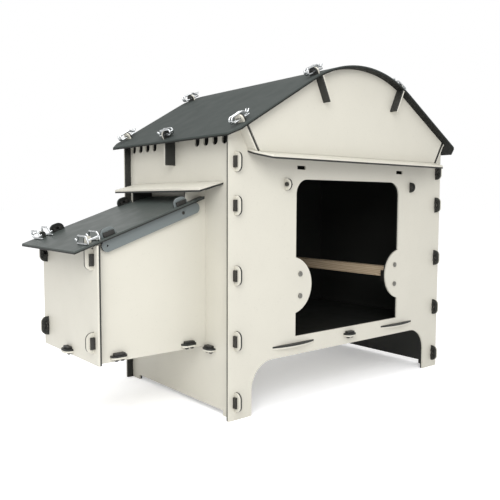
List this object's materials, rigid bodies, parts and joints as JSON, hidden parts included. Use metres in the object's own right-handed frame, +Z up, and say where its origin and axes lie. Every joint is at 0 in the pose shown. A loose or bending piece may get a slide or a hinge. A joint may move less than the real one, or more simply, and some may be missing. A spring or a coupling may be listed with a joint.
{
  "type": "chicken coop",
  "caption": "Raised flat-pack hen coop of clipped two-tone plastic sheet: arched roof, open doorway, perches and a side nest box with a hinged lid.",
  "frame": {"origin": "bottom centre of the whole object's bounding box, on the ground", "axes": "+Z up, +X along the front from the nest box to the far side, +Y from the doorway side to the rear"},
  "size_m": [1.141, 0.596, 0.8365],
  "materials": {
    "cream_sheet": "satin, cream outer face and black inner face",
    "slate_sheet": "satin slate grey, black underside",
    "black_sheet": "satin",
    "black_plastic": "moulded, satin",
    "bright_steel": "bright drawn wire and zinc-plated screws",
    "perch_wood": "planed, unfinished softwood"
  },
  "bodies": {
    "house": {"front_panel": "cream_sheet", "rear_panel": "cream_sheet", "left_wall": "cream_sheet", "right_wall": "cream_sheet", "floor_panel": "black_sheet", "front_gable_board": "cream_sheet", "rear_gable_board": "cream_sheet", "front_sill": "cream_sheet", "rear_sill": "cream_sheet", "front_left_cheek": "cream_sheet", "front_right_cheek": "cream_sheet", "rear_left_cheek": "cream_sheet", "rear_right_cheek": "cream_sheet", "left_purlin": "black_sheet", "right_purlin": "black_sheet", "left_eave_bracket": "black_sheet", "right_eave_bracket": "black_sheet", "roof_sheet": "slate_sheet", "nest_floor": "cream_sheet", "nest_front_side": "cream_sheet", "nest_rear_side": "cream_sheet", "nest_end_panel": "cream_sheet", "nest_ledge": "cream_sheet", "front_left_perch_bracket": "black_plastic", "front_right_perch_bracket": "black_plastic", "rear_left_perch_bracket": "black_plastic", "rear_right_perch_bracket": "black_plastic", "front_bracket_screws": "bright_steel", "rear_bracket_screws": "bright_steel", "left_door_catch": "cream_sheet", "right_door_catch": "cream_sheet", "front_corner_clips": "black_plastic", "rear_corner_clips": "black_plastic", "floor_clips": "black_plastic", "nest_clips": "black_plastic", "nest_wall_clips": "black_plastic", "roof_clips": "bright_steel"},
    "nest_lid_body": {"nest_lid": "slate_sheet", "front_lid_skirt": "slate_sheet", "rear_lid_skirt": "slate_sheet", "lid_hinge_pins": "black_plastic", "lid_skirt_clips": "black_plastic", "lid_clips": "bright_steel"},
    "left_perch_body": {"left_perch": "perch_wood"},
    "right_perch_body": {"right_perch": "perch_wood"},
    "left_pin_body": {"left_catch_pin": "black_plastic"},
    "right_pin_body": {"right_catch_pin": "black_plastic"}
  },
  "joints": [
    {"name": "nest_lid_hinge", "type": "hinge", "parent": "house", "child": "nest_lid_body", "pos_m": [-0.30209, 0, 0.47168], "axis": [0, 1, 0], "range_deg": [0, 60]},
    {"name": "left_perch_lift", "type": "slide", "parent": "house", "child": "left_perch_body", "axis": [0, 0, 1], "range_m": [0, 0.08]},
    {"name": "right_perch_lift", "type": "slide", "parent": "house", "child": "right_perch_body", "axis": [0, 0, 1], "range_m": [0, 0.08]},
    {"name": "left_catch_pull", "type": "slide", "parent": "house", "child": "left_pin_body", "axis": [-1, 0, 0], "range_m": [0, 0.026]},
    {"name": "right_catch_pull", "type": "slide", "parent": "house", "child": "right_pin_body", "axis": [-1, 0, 0], "range_m": [0, 0.026]}
  ]
}
